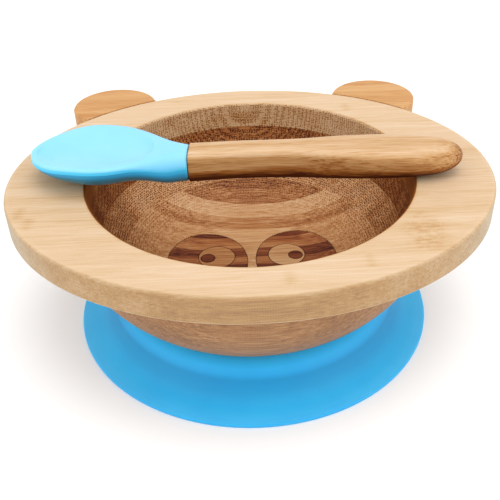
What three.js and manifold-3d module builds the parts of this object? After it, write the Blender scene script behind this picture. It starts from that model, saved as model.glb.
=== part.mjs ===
// A child's bamboo suction bowl with a matching spoon.
// Four bamboo boards are glued in a stack and turned into a bowl, an oval rim board with two ears
// sits on top, a face is inlaid in the floor, and the foot stands in a silicone suction base.
// The spoon lies across the rim. Sizes are millimetres, +Z is up and the ears are at +Y. The bowl
// is drawn about its turning axis, and then moved so that the origin is on the table, in the middle
// of the whole object's length and width.
import * as THREE from "three";
import { mergeVertices } from "three/addons/utils/BufferGeometryUtils.js";
import Module from "manifold-3d";

const wasm = await Module();
wasm.setup();

// Driving sizes
const TOP_Z = 54;
const BOARD_THICKNESS = 9.15;
const RIM_HALF_WIDTH = 78.6;
const RIM_HALF_DEPTH = 66.6;
const OPENING_RADIUS = 53;
const BASE_RADIUS = 61.8;
const GAP = 0.3;

// Heights of the joints between the boards, from the rim board down to the foot board
const RIM_LOW_Z = TOP_Z - BOARD_THICKNESS;
const UPPER_LOW_Z = RIM_LOW_Z - BOARD_THICKNESS;
const MIDDLE_LOW_Z = UPPER_LOW_Z - BOARD_THICKNESS;
const LOWER_LOW_Z = MIDDLE_LOW_Z - BOARD_THICKNESS;
const FOOT_LOW_Z = LOWER_LOW_Z - BOARD_THICKNESS;

// Inside of the bowl: a flat floor that curves up into an upright wall
const FLOOR_Z = 16.8;
const FLOOR_FLAT_RADIUS = 19.8;
const INSIDE_FLOOR_POWER = 1.7;
const INSIDE_WALL_POWER = 2.7;

// Outside of the bowl, under the rim board
const BODY_RADIUS = 60.9;
const BODY_LOW_RADIUS = 39;
const BODY_LOW_Z = 10.2;
const OUTSIDE_LOW_POWER = 1.1;
const OUTSIDE_WALL_POWER = 2.4;

// Foot and its socket in the suction base
const SHOULDER_Z = 13;
const FOOT_RADIUS = 41;
const SOCKET_RADIUS = FOOT_RADIUS + GAP;
const SOCKET_FLOOR_Z = FOOT_LOW_Z - GAP;

// Suction base: the arc of its raised boss, and how sharply the skirt flares out below it
const BOSS = { centreRadius: 42.9, centreZ: 5, size: 7.65, from: 0.446, to: 1.453 };
const SKIRT_POWER = 3.2;

const RIM_EDGE_RADIUS = 1.5;
const OPENING_EDGE_RADIUS = 1.2;
const TURN_SEGMENTS = 56;
const RIM_SEGMENTS = 72;
const LOWER_WALL_STEPS = 5;
const PATCH_SEGMENTS = 32;
const EYEBALL_SEGMENTS = 24;
const PUPIL_SEGMENTS = 16;

// Ears, each a round board let against the oval rim
const EAR_X = 50.5;
const EAR_Y = 56.9;
const EAR_RADIUS = 15.9;

// Face inlays in the floor
const INLAY_LOW_Z = 15.2;
const INLAY_TOP_Z = 24;
const INLAY_GAP = 0.2;
const PATCH = { x: 15.8, y: 0.1, halfWidth: 14.2, halfDepth: 18.2, tilt: 0.093 };
const EYEBALL = { x: 12.6, y: 3.9, radius: 6.5 };
const PUPIL = { x: 15.8, y: 3.4, radius: 2.45 };
const NOSE = { y: -17, halfWidth: 5, halfDepth: 3.6 };

// Spoon, drawn along its own X axis with the head towards -X and its wooden shoulder at 0
const SPOON_PLACE = { x: -19.3, y: -0.3, z: 58.45 };
const SPOON_TURN = -0.062;
const SPOON_TILT = -0.015;
const HANDLE_THICKNESS = 10.5;
const HANDLE_EDGE_RADIUS = 4;
const HANDLE_END_X = 87;
const HANDLE_ROUND_X = 68;
const TANG_LENGTH = 9;
const TANG_RADIUS = 3;
const COLLAR_RADIUS = 5.75;
const HEAD_LENGTH = 50.5;
const HEAD_DEPTH = 9.75;
const HEAD_HALF_WIDTH = 16.2;
const HEAD_RISE = 0.07;
const HEAD_RIM_Z = 3.2;
const SCOOP_BORDER = 3;
const SCOOP_FLATTENING = 0.3;
const SCOOP_END_X = -10.7;

const COLOURS = {
  rimBamboo: { color: 0xe6c596, roughness: 0.55, metalness: 0 },
  earBamboo: { color: 0xc98b4e, roughness: 0.55, metalness: 0 },
  bodyBamboo: { color: 0xa97a50, roughness: 0.6, metalness: 0 },
  patchBamboo: { color: 0x5f2c1a, roughness: 0.6, metalness: 0 },
  eyeBamboo: { color: 0xc2935f, roughness: 0.6, metalness: 0 },
  baseSilicone: { color: 0x3fadea, roughness: 0.5, metalness: 0 },
  spoonBamboo: { color: 0xd6a469, roughness: 0.5, metalness: 0 },
  spoonSilicone: { color: 0x7fd9fb, roughness: 0.45, metalness: 0 },
};

const bowl = new THREE.Group();

/** Add one named mesh to a group. */
function addPart(group, name, geometry, colour) {
  const mesh = new THREE.Mesh(geometry, new THREE.MeshStandardMaterial(colour));
  mesh.name = name;
  group.add(mesh);
  return mesh;
}

/** Close a geometry's shared vertices and hand it over as a solid for cutting and joining. */
function solidOf(geometry) {
  const shell = geometry.clone();
  shell.deleteAttribute("normal");
  shell.deleteAttribute("uv");
  const merged = mergeVertices(shell, 1e-4);
  const corners = merged.index.array;
  const faces = [];
  for (let i = 0; i < corners.length; i += 3) {
    const [a, b, c] = [corners[i], corners[i + 1], corners[i + 2]];
    if (a !== b && b !== c && c !== a) faces.push(a, b, c);
  }
  const vertProperties = Float32Array.from(merged.attributes.position.array);
  const triVerts = Uint32Array.from(faces);
  return new wasm.Manifold(new wasm.Mesh({ numProp: 3, vertProperties, triVerts }));
}

/** Turn a solid back into a geometry. */
function geometryOf(solid) {
  const { vertProperties, triVerts } = solid.getMesh();
  const geometry = new THREE.BufferGeometry();
  geometry.setAttribute("position", new THREE.BufferAttribute(Float32Array.from(vertProperties), 3));
  geometry.setIndex(new THREE.BufferAttribute(Uint32Array.from(triVerts), 1));
  geometry.computeVertexNormals();
  return geometry;
}

/** Turn a profile of [radius, height] points, outside edge upwards, about the Z axis. */
function turned(profile, segments = TURN_SEGMENTS) {
  const points = profile.map(([radius, height]) => new THREE.Vector2(radius, height));
  return new THREE.LatheGeometry(points, segments).rotateX(Math.PI / 2);
}

/** Points of a quarter or smaller arc in a profile, from one angle to another. */
function arc(centreRadius, centreHeight, size, from, to, steps = 3) {
  const points = [];
  for (let i = 0; i <= steps; i += 1) {
    const angle = from + ((to - from) * i) / steps;
    points.push([centreRadius + size * Math.cos(angle), centreHeight + size * Math.sin(angle)]);
  }
  return points;
}

/** Radius of the bowl's inside wall at a height. */
function insideRadius(z) {
  const drop = (TOP_Z - z) / (TOP_Z - FLOOR_Z);
  const along = Math.max(0, 1 - drop ** INSIDE_WALL_POWER) ** (1 / INSIDE_FLOOR_POWER);
  return FLOOR_FLAT_RADIUS + (OPENING_RADIUS - FLOOR_FLAT_RADIUS) * along;
}

/** Radius of the bowl's outside wall at a height under the rim board. */
function outsideRadius(z) {
  const drop = (RIM_LOW_Z - z) / (RIM_LOW_Z - BODY_LOW_Z);
  const along = (1 - drop ** OUTSIDE_WALL_POWER) ** (1 / OUTSIDE_LOW_POWER);
  return BODY_LOW_RADIUS + (BODY_RADIUS - BODY_LOW_RADIUS) * along;
}

/** Evenly spaced wall points between two heights, going the way the heights are given. */
function wallPoints(radiusAt, from, to, steps) {
  const points = [];
  for (let i = 0; i <= steps; i += 1) {
    const z = from + ((to - from) * i) / steps;
    points.push([radiusAt(z), z]);
  }
  return points;
}

/** One board of the stack, turned inside and outside, with a flat face above and below. */
function boardRing(low, high, insideSteps, outsideSteps) {
  const outside = wallPoints(outsideRadius, low, high, outsideSteps);
  const inside = wallPoints(insideRadius, high, low, insideSteps);
  return turned([...outside, ...inside, outside[0]]);
}

/** The board under the floor: its top is hollowed by the floor, and its foot steps in. */
function footBoard() {
  const foot = [[0, FOOT_LOW_Z], [FOOT_RADIUS - 0.8, FOOT_LOW_Z], [FOOT_RADIUS, FOOT_LOW_Z + 0.8]];
  const shoulder = [[FOOT_RADIUS, SHOULDER_Z]];
  const outside = wallPoints(outsideRadius, SHOULDER_Z, LOWER_LOW_Z, 2);
  const floor = [...wallPoints(insideRadius, LOWER_LOW_Z, FLOOR_Z, 2), [0, FLOOR_Z]];
  return turned([...foot, ...shoulder, ...outside, ...floor]);
}

/** The space inside the bowl up to above the rim, with the same wall points as the boards. */
function bowlSpace() {
  const floor = [[0, FLOOR_Z], ...wallPoints(insideRadius, FLOOR_Z, LOWER_LOW_Z, 2)];
  const wall = wallPoints(insideRadius, LOWER_LOW_Z, MIDDLE_LOW_Z, LOWER_WALL_STEPS).slice(1);
  return turned([...floor, ...wall, [0, MIDDLE_LOW_Z]]);
}

/** An oval or round upright prism that the face inlays and their pockets are cut with. */
function prism(x, y, halfWidth, halfDepth, tilt, low, segments) {
  const height = INLAY_TOP_Z - low;
  const body = new THREE.CylinderGeometry(1, 1, height, segments);
  body.rotateX(Math.PI / 2);
  body.scale(halfWidth, halfDepth, 1);
  body.rotateZ(tilt);
  body.translate(x, y, low + height / 2);
  return solidOf(body);
}

/** An eye patch on one side, or with grow its pocket. */
function patchPrism(side, grow, low) {
  const { x, y, halfWidth, halfDepth, tilt } = PATCH;
  return prism(side * x, y, halfWidth + grow, halfDepth + grow, side * tilt, low, PATCH_SEGMENTS);
}

/** An eyeball or pupil on one side, or with grow its hole. */
function roundPrism(side, shape, segments, grow, low) {
  const radius = shape.radius + grow;
  return prism(side * shape.x, shape.y, radius, radius, 0, low, segments);
}

/** The nose, or with grow its pocket. */
function nosePrism(grow, low) {
  return prism(0, NOSE.y, NOSE.halfWidth + grow, NOSE.halfDepth + grow, 0, low, EYEBALL_SEGMENTS);
}

/** The lower bowl boards, with a pocket for each eye patch and for the nose. */
function addPocketedBoards(group) {
  let pockets = nosePrism(INLAY_GAP, INLAY_LOW_Z - INLAY_GAP);
  for (const side of [-1, 1]) {
    pockets = pockets.add(patchPrism(side, INLAY_GAP, INLAY_LOW_Z - INLAY_GAP));
  }
  const lower = boardRing(LOWER_LOW_Z, MIDDLE_LOW_Z, LOWER_WALL_STEPS, 3);
  addPart(group, "lower_bowl_board", geometryOf(solidOf(lower).subtract(pockets)), COLOURS.bodyBamboo);
  addPart(group, "foot_board", geometryOf(solidOf(footBoard()).subtract(pockets)), COLOURS.bodyBamboo);
}

/** The inlaid face: two patches, each around an eyeball that holds a pupil, and a nose. */
function addFace(group) {
  const space = solidOf(bowlSpace());
  for (const side of [-1, 1]) {
    const name = side < 0 ? "left" : "right";
    const eyeballHole = roundPrism(side, EYEBALL, EYEBALL_SEGMENTS, INLAY_GAP, INLAY_LOW_Z - 1);
    const pupilHole = roundPrism(side, PUPIL, PUPIL_SEGMENTS, INLAY_GAP, INLAY_LOW_Z - 1);
    const patch = patchPrism(side, 0, INLAY_LOW_Z).subtract(eyeballHole).subtract(space);
    const eyeDisc = roundPrism(side, EYEBALL, EYEBALL_SEGMENTS, 0, INLAY_LOW_Z);
    const eyeball = eyeDisc.subtract(pupilHole).subtract(space);
    const pupil = roundPrism(side, PUPIL, PUPIL_SEGMENTS, 0, INLAY_LOW_Z).subtract(space);
    addPart(group, `${name}_eye_patch`, geometryOf(patch), COLOURS.patchBamboo);
    addPart(group, `${name}_eyeball`, geometryOf(eyeball), COLOURS.eyeBamboo);
    addPart(group, `${name}_pupil`, geometryOf(pupil), COLOURS.patchBamboo);
  }
  addPart(group, "nose", geometryOf(nosePrism(0, INLAY_LOW_Z).subtract(space)), COLOURS.patchBamboo);
}

/** A flat round board with rounded edges, as thick as the rim board. */
function roundedBoard(radius, segments) {
  const low = RIM_LOW_Z + RIM_EDGE_RADIUS;
  const high = TOP_Z - RIM_EDGE_RADIUS;
  const edge = radius - RIM_EDGE_RADIUS;
  const lowArc = arc(edge, low, RIM_EDGE_RADIUS, -Math.PI / 2, 0);
  const highArc = arc(edge, high, RIM_EDGE_RADIUS, 0, Math.PI / 2);
  return turned([[0, RIM_LOW_Z], ...lowArc, ...highArc, [0, TOP_Z]], segments);
}

/** The oval rim board with the bowl's round opening. */
function rimBoard() {
  const board = roundedBoard(RIM_HALF_WIDTH, RIM_SEGMENTS).scale(1, RIM_HALF_DEPTH / RIM_HALF_WIDTH, 1);
  const edge = OPENING_EDGE_RADIUS;
  const wall = wallPoints(insideRadius, RIM_LOW_Z - 1, TOP_Z - edge, 3);
  const lip = arc(OPENING_RADIUS + edge, TOP_Z - edge, edge, Math.PI, Math.PI / 2).slice(1);
  const above = [[OPENING_RADIUS + edge, TOP_Z + 1], [0, TOP_Z + 1]];
  const opening = turned([[0, RIM_LOW_Z - 1], ...wall, ...lip, ...above], RIM_SEGMENTS);
  return geometryOf(solidOf(board).subtract(solidOf(opening)));
}

/** One ear, cut to meet the oval edge of the rim board. */
function ear(side) {
  const height = BOARD_THICKNESS + 2;
  const round = roundedBoard(EAR_RADIUS, 36).translate(side * EAR_X, EAR_Y, 0);
  const oval = new THREE.CylinderGeometry(1, 1, height, RIM_SEGMENTS).rotateX(Math.PI / 2);
  oval.scale(RIM_HALF_WIDTH + GAP, RIM_HALF_DEPTH + GAP, 1);
  oval.translate(0, 0, RIM_LOW_Z + BOARD_THICKNESS / 2);
  return geometryOf(solidOf(round).subtract(solidOf(oval)));
}

/** The silicone base: a socket for the foot, a raised boss, and a thin skirt over a hollow. */
function suctionBase() {
  const skirtEdge = 1.3;
  const lipRadius = 57;
  const hollowHeight = 5.2;
  const under = wallPoints((z) => lipRadius * Math.sqrt(1 - z / hollowHeight), hollowHeight, 0, 5);
  const edge = [[BASE_RADIUS - 0.4, 0], [BASE_RADIUS, 0.4], [BASE_RADIUS, skirtEdge - 0.4]];
  const boss = arc(BOSS.centreRadius, BOSS.centreZ, BOSS.size, BOSS.from, BOSS.to, 4);
  const [bossRadius, bossLowZ] = boss[0];
  const skirt = [];
  for (const step of [1, 0.72, 0.48, 0.28, 0.12]) {
    const radius = bossRadius + (BASE_RADIUS - 0.4 - bossRadius) * step;
    skirt.push([radius, skirtEdge + (bossLowZ - skirtEdge) * (1 - step) ** SKIRT_POWER]);
  }
  const mouth = [[SOCKET_RADIUS + 1.2, SHOULDER_Z - GAP], [SOCKET_RADIUS, SHOULDER_Z - GAP - 0.8]];
  const socket = [[SOCKET_RADIUS, SOCKET_FLOOR_Z], [0, SOCKET_FLOOR_Z]];
  return turned([...under, ...edge, ...skirt, ...boss, ...mouth, ...socket]);
}

/** The handle's flat outline, inset by its rounded edge, from inside the head to its round end. */
function handleShape() {
  const marks = [[-6, 1.7], [16, 1.2], [34, 1.6], [46, 3.2], [58, 4.4], [HANDLE_ROUND_X, 4.8]];
  const side = new THREE.SplineCurve(marks.map(([x, half]) => new THREE.Vector2(x, half)));
  const upper = side.getPoints(10);
  const lower = upper.map((point) => new THREE.Vector2(point.x, -point.y));
  const reach = HANDLE_END_X - HANDLE_EDGE_RADIUS - HANDLE_ROUND_X;
  const half = marks.at(-1)[1];
  const end = new THREE.EllipseCurve(HANDLE_ROUND_X, 0, reach, half, -Math.PI / 2, Math.PI / 2, false);
  return new THREE.Shape([...lower, ...end.getPoints(14).slice(1, -1), ...upper.reverse()]);
}

/** The bamboo handle: a board with rounded edges, and a round tang for the head's socket. */
function spoonHandle() {
  const depth = HANDLE_THICKNESS - 2 * HANDLE_EDGE_RADIUS;
  const settings = { depth, steps: 1, bevelSegments: 4 };
  const bevel = { bevelThickness: HANDLE_EDGE_RADIUS, bevelSize: HANDLE_EDGE_RADIUS };
  const board = new THREE.ExtrudeGeometry(handleShape(), { ...settings, ...bevel });
  board.translate(0, 0, -depth / 2);
  const trim = new THREE.BoxGeometry(40, 40, 40).translate(-20, 0, 0);
  const tang = alongX([[0, -TANG_LENGTH], [TANG_RADIUS, -TANG_LENGTH], [TANG_RADIUS, 2], [0, 2]], 16);
  return geometryOf(solidOf(board).subtract(solidOf(trim)).add(solidOf(tang)));
}

/** Turn a profile of [radius, distance] points about the spoon's own X axis. */
function alongX(profile, segments) {
  return turned(profile, segments).rotateY(Math.PI / 2);
}

/** A smooth profile through a few marks that starts or ends on the axis. */
function smooth(marks, steps) {
  const curve = new THREE.SplineCurve(marks.map(([radius, x]) => new THREE.Vector2(radius, x)));
  return curve.getPoints(steps).map((point) => [Math.max(point.x, 0), point.y]);
}

/** Half of the head's outline seen from above, from its tip to the handle's shoulder. */
function headOutline() {
  const tip = [[0, -HEAD_LENGTH], [3, 0.35 - HEAD_LENGTH], [8, 3 - HEAD_LENGTH], [13.3, -41]];
  const neck = [[HEAD_HALF_WIDTH, -30.5], [14.9, -21], [10.4, -12], [7, -6], [5.6, 0]];
  return smooth([...tip, ...neck], 30);
}

/** Half of the scoop's outline, from near the head's tip to its round end by the neck. */
function scoopOutline() {
  const widest = HEAD_HALF_WIDTH - SCOOP_BORDER;
  const start = SCOOP_BORDER - HEAD_LENGTH;
  const tip = [[0, start], [2.8, start + 0.4], [7.2, -45], [11.4, -39]];
  const end = [[widest, -30.5], [12, -22.5], [8.6, -16], [4.6, -12.2], [0, SCOOP_END_X]];
  return smooth([...tip, ...end], 26);
}

/** The silicone head: a shallow scoop on a neck and a collar that grips the handle's tang. */
function spoonHead() {
  const egg = alongX([...headOutline(), [0, 0]], 28).scale(1, 1, HEAD_DEPTH / HEAD_HALF_WIDTH);
  const above = new THREE.BoxGeometry(80, 60, 20).translate(-30, 0, 10);
  const scoop = solidOf(egg).subtract(solidOf(above));
  const hollow = alongX(scoopOutline(), 24).scale(1, 1, SCOOP_FLATTENING);
  const rimPlane = (geometry) => geometry.rotateY(HEAD_RISE).translate(0, 0, HEAD_RIM_Z);
  const collarBand = [[COLLAR_RADIUS, -8], [COLLAR_RADIUS, -GAP], [0, -GAP]];
  const collar = alongX([[0, -14], [3, -13.4], [4.9, -11.4], ...collarBand], 24).scale(1, 1, 0.92);
  const trim = new THREE.BoxGeometry(20, 40, 40).translate(10 - GAP, 0, 0);
  const reach = TANG_LENGTH + GAP;
  const bore = TANG_RADIUS + GAP;
  const socket = alongX([[0, -reach], [bore, -reach], [bore, 2], [0, 2]], 16);
  const head = solidOf(rimPlane(geometryOf(scoop))).subtract(solidOf(trim)).add(solidOf(collar));
  return geometryOf(head.subtract(solidOf(rimPlane(hollow))).subtract(solidOf(socket)));
}

function addBowl() {
  addPart(bowl, "rim_board", rimBoard(), COLOURS.rimBamboo);
  addPart(bowl, "left_ear", ear(-1), COLOURS.earBamboo);
  addPart(bowl, "right_ear", ear(1), COLOURS.earBamboo);
  addPart(bowl, "upper_bowl_board", boardRing(UPPER_LOW_Z, RIM_LOW_Z, 3, 3), COLOURS.bodyBamboo);
  addPart(bowl, "middle_bowl_board", boardRing(MIDDLE_LOW_Z, UPPER_LOW_Z, 4, 3), COLOURS.bodyBamboo);
  addPocketedBoards(bowl);
  addFace(bowl);
  addPart(bowl, "suction_base", suctionBase(), COLOURS.baseSilicone);
}

function addSpoon() {
  const spoon = new THREE.Group();
  addPart(spoon, "spoon_handle", spoonHandle(), COLOURS.spoonBamboo);
  addPart(spoon, "spoon_head", spoonHead(), COLOURS.spoonSilicone);
  spoon.rotation.set(0, SPOON_TILT, SPOON_TURN, "ZYX");
  spoon.position.set(SPOON_PLACE.x, SPOON_PLACE.y, SPOON_PLACE.z);
  bowl.add(spoon);
}

addBowl();
addSpoon();
const earOverhang = EAR_Y + EAR_RADIUS - RIM_HALF_DEPTH;
bowl.position.y = -earOverhang / 2;

export default bowl;
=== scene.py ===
"""A child's bamboo suction bowl with a silicone base, an inlaid face and a spoon.

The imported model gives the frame. Shapes are drawn in millimetres about the bowl's turning axis, and
become metres in the row frame when a mesh is made. +Z is up and the ears are at +Y.
"""

import math

import bmesh
import bpy
import numpy as np
from mathutils import Matrix, Vector


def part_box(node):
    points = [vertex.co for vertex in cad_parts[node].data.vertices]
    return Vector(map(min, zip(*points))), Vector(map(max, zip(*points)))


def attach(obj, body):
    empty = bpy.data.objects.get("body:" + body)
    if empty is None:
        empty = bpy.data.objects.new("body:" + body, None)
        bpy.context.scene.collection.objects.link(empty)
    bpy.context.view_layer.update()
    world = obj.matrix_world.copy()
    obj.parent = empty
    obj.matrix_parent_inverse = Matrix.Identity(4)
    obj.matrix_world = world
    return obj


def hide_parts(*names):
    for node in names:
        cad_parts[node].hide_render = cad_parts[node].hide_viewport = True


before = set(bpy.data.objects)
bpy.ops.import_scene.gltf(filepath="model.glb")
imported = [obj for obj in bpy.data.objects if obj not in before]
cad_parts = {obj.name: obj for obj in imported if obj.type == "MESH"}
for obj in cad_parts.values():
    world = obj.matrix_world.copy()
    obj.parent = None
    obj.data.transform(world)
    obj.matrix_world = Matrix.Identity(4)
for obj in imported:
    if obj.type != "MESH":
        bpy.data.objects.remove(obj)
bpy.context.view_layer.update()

MM = 0.001
RIM_LOW, RIM_HIGH = (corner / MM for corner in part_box("rim_board"))
BASE_LOW, BASE_HIGH = (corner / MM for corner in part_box("suction_base"))
AXIS_Y = (RIM_LOW.y + RIM_HIGH.y) / 2

# Outline sizes
RIM_HALF_WIDTH = (RIM_HIGH.x - RIM_LOW.x) / 2
RIM_HALF_DEPTH = (RIM_HIGH.y - RIM_LOW.y) / 2
TOP_Z = RIM_HIGH.z
BOARD_LOW_Z = {
    node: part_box(node)[0].z / MM
    for node in ("rim_board", "upper_bowl_board", "middle_bowl_board", "lower_bowl_board", "foot_board")
}
BASE_RADIUS = (BASE_HIGH.x - BASE_LOW.x) / 2
OPENING_RADIUS = 53.0
RIM_EDGE = 1.0
RIM_LOW_EDGE = 0.8
OPENING_EDGE = 0.8
SHARP_ANGLE = 38

# Inside and outside curves of the turned bowl
FLOOR_Z = 16.8
FLOOR_FLAT_RADIUS = 19.8
INSIDE_FLOOR_POWER = 1.7
INSIDE_WALL_POWER = 2.7
BODY_RADIUS = 60.9
BODY_LOW_RADIUS = 39.0
BODY_LOW_Z = 10.2
OUTSIDE_LOW_POWER = 1.1
OUTSIDE_WALL_POWER = 2.4
SHOULDER_Z = 13.0

# Foot
FOOT_RADIUS = 41.0
FOOT_EDGE = 0.8
FOOT_CHAMFER = 0.3
FOOT_RING_RADIUS = 20

# Suction base: socket and its mouth, the hollow under it, lip, skirt and boss
SOCKET_GAP = 0.3
SOCKET_CHAMFER = 0.3
MOUTH_WIDENING = 1.0
MOUTH_DEPTH = 1.1
HOLLOW_RADIUS = 57
HOLLOW_Z = 5.2
LIP_ROUND = 0.4
SKIRT_ROUND = 0.65
SKIRT_INSET = 0.3
SKIRT_Z = 1.3
SKIRT_POWER = 3.2
BOSS_CENTRE = (42.9, 5.0)
BOSS_ROUND = 7.65
BOSS_START, BOSS_END = math.degrees(0.446), math.degrees(1.453)

# Ears, cut to the rim's oval. Their edge is rounded fully on the bow and hardly at the joint
EAR_Y = 56.9
EAR_PLACE = Vector((50.5, EAR_Y))
EAR_RADIUS = (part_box("right_ear")[1].y / MM - AXIS_Y) - EAR_Y
EAR_JOINT = 0.08
EAR_JOINT_ROUNDING = 0.12
EAR_ROUNDING_RISE = 12

# Face inlays
INLAY_LOW_Z = 15.2
INLAY_GAP = 0.2
INLAY_EDGE = 0.12
INLAY_EDGE_DROP = 0.7
PATCH = {"x": 15.8, "y": 0.1, "half_width": 14.2, "half_depth": 18.2, "tilt": 0.093}
EYEBALL = {"x": 12.6, "y": 3.9, "radius": 6.5}
PUPIL = {"x": 15.8, "y": 3.4, "radius": 2.45}
NOSE = {"y": -17.0, "half_width": 5.0, "half_depth": 3.6}

# Spoon, drawn along its own X axis with the head towards -X and the handle's shoulder at 0
SPOON_PLACE = Vector((-19.3, -0.3, 58.45))
SPOON_TURN = -0.062
SPOON_TILT = -0.015
HANDLE_HALF_HEIGHT = 5.18
HANDLE_END_X = 87.0
HANDLE_SAG = 0.7
HANDLE_SAG_X = (-4, 20)
HANDLE_ROUND_X = 67.0
HANDLE_SIDE = [(0, 5.6), (16, 5.15), (34, 5.5), (46, 7.1), (58, 8.35), (HANDLE_ROUND_X, 8.75), (74, 8.8)]
HANDLE_START_HALF_WIDTH = 5.3
HANDLE_EDGE = 0.35
HANDLE_SQUARENESS = 4.2
HANDLE_SOFTENING = 1.9
HANDLE_SOFTENING_X = (40, HANDLE_END_X)
HANDLE_THIN_START = 0.36
HANDLE_END_POWER, HANDLE_END_ROOT = 2.3, 2.1
HANDLE_THIN_POWER = 2.2
TANG_RADIUS = 3.0
TANG_LENGTH = 9.0
BORE_GAP = 0.2
HEAD_GAP = 0.25
HEAD_LENGTH = 50.5
HEAD_RIM_Z = 3.2
HEAD_RISE = 0.07
HEAD_DEPTH_SHARE = 0.595
HEAD_TOP_Z = 4.45
HEAD_TOP_RISE = 0.047
HEAD_TIP_DROOP = 2.2
HEAD_DROOP_X = (32, HEAD_LENGTH + 3)
HEAD_SIDE = [(-HEAD_LENGTH, 0), (-49.1, 5.6), (-45.2, 10.6), (-39.2, 14.4), (-31, 16.4), (-23, 15.7),
             (-15.5, 12.8), (-9, 9.7), (-4, 7.3), (0, 5.8)]

# Sections of the spoon's head: the roundness of the top edge, then the lip, ledge and belly under it
HEAD_EDGE = 0.8
NECK_EDGE = 3.7
HEAD_EDGE_LIMIT = 0.8
HEAD_LIP = 0.9
HEAD_TIP_DROP = 0.9
LIP_FADE_HALF_WIDTH = 6
LEDGE_WIDTH = 0.3
LEDGE_TOP = 0.02
LEDGE_LOW = 0.04
LEDGE_SLOPE = 0.6
BELLY_POWER = 1.9
NECK_BELLY_POWER = 0.5
BELLY_LEAST_DEPTH = 0.5
BELLY_LEAST_SHARE = 0.1
TOP_SHARE = 0.3
NECK_X = (-24, -5)
COLLAR_X = (-21, -5)
COLLAR_LOW_Z = -6.2
NECK_WAIST = 0.35
WAIST_START_X = (-31, -20)
WAIST_END_X = (-14, -5)

# Scoop in the spoon's head
SCOOP_START_X = -48.6
SCOOP_END_X = -11.0
SCOOP_SIDE = [(SCOOP_START_X, 0), (-47.3, 4.9), (-43.8, 9.4), (-38.4, 12.9), (-31, 14.7), (-23, 13.9),
              (-16.5, 10.6), (-12.7, 6.2), (SCOOP_END_X, 0)]
SCOOP_DEPTH_SHARE = 0.2
SCOOP_POWER = 1.3

# Points around a turn, the rim, an inlay and the handle, and along a curve between two marks
TURN_STEPS = 192
RIM_STEPS = 256
INLAY_STEPS = 94
HANDLE_STEPS = 64
CURVE_STEPS = 24


# ---------------------------------------------------------------- curves


def inside_radius(z):
    """Radius of the bowl's inside wall at a height."""
    drop = (TOP_Z - z) / (TOP_Z - FLOOR_Z)
    along = max(0.0, 1 - drop**INSIDE_WALL_POWER) ** (1 / INSIDE_FLOOR_POWER)
    return FLOOR_FLAT_RADIUS + (OPENING_RADIUS - FLOOR_FLAT_RADIUS) * along


def inside_height(radius):
    """Height of the bowl's inside surface at a radius."""
    out = np.clip((radius - FLOOR_FLAT_RADIUS) / (OPENING_RADIUS - FLOOR_FLAT_RADIUS), 0, 1)
    drop = (1 - out**INSIDE_FLOOR_POWER) ** (1 / INSIDE_WALL_POWER)
    return TOP_Z - (TOP_Z - FLOOR_Z) * drop


def outside_radius(z):
    """Radius of the bowl's outside wall at a height under the rim board."""
    drop = (BOARD_LOW_Z["rim_board"] - z) / (BOARD_LOW_Z["rim_board"] - BODY_LOW_Z)
    along = (1 - drop**OUTSIDE_WALL_POWER) ** (1 / OUTSIDE_LOW_POWER)
    return BODY_LOW_RADIUS + (BODY_RADIUS - BODY_LOW_RADIUS) * along


def wall(radius_at, start, end, steps):
    """Profile points on a wall between two heights."""
    return [(radius_at(z), z) for z in np.linspace(start, end, steps + 1)]


def arc(centre, size, start, end, steps=8):
    """Points on an arc in a plane, from one angle to another in degrees."""
    angles = np.radians(np.linspace(start, end, steps + 1))
    return [(centre[0] + size * math.cos(a), centre[1] + size * math.sin(a)) for a in angles]


def circle(steps):
    """Unit circle directions."""
    angles = np.linspace(0, 2 * math.pi, steps, endpoint=False)
    return np.stack([np.cos(angles), np.sin(angles)], axis=1)


def at_height(outline, z):
    """A flat outline lifted to a height, or to one height for each point."""
    heights = np.broadcast_to(np.asarray(z, float), (len(outline),))
    return np.column_stack([outline, heights])


def smooth_curve(marks):
    """A Catmull-Rom curve through marks, as an array of points. An end on the axis is rounded."""
    marks = np.array(marks, float)
    mirror = np.array([1.0, -1.0])
    before = marks[1] * mirror if marks[0][1] == 0 else 2 * marks[0] - marks[1]
    after = marks[-2] * mirror if marks[-1][1] == 0 else 2 * marks[-1] - marks[-2]
    padded = np.vstack([before, marks, after])
    points = []
    for a, b, c, d in zip(padded, padded[1:], padded[2:], padded[3:]):
        for t in np.linspace(0, 1, CURVE_STEPS, endpoint=False):
            bend = 2 * a - 5 * b + 4 * c - d + t * (3 * (b - c) + d - a)
            points.append(b + 0.5 * t * (c - a + t * bend))
    points.append(marks[-1])
    return np.array(points)


def blend(x, start, end):
    """0 before start, 1 after end, and smooth between them."""
    t = np.clip((x - start) / (end - start), 0, 1)
    return t * t * (3 - 2 * t)


# ---------------------------------------------------------------- meshes


def skin(loops, ring=False, start_pole=None, end_pole=None):
    """Points and faces of a skin over closed loops of points. A ring's last loop joins its first, and
    an open skin's ends close with a fan to a pole, or with one flat face."""
    count = len(loops[0])
    points = [tuple(point) for loop in loops for point in loop]
    pairs = list(zip(range(len(loops) - 1), range(1, len(loops))))
    if ring:
        pairs.append((len(loops) - 1, 0))
    faces = []
    for a, b in pairs:
        for i in range(count):
            j = (i + 1) % count
            faces.append((a * count + i, a * count + j, b * count + j, b * count + i))
    if not ring:
        for loop, pole in ((0, start_pole), (len(loops) - 1, end_pole)):
            edge = [loop * count + i for i in range(count)]
            if pole is None:
                faces.append(tuple(edge))
                continue
            points.append(tuple(pole))
            faces += [(edge[i], edge[(i + 1) % count], len(points) - 1) for i in range(count)]
    return points, faces


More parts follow.
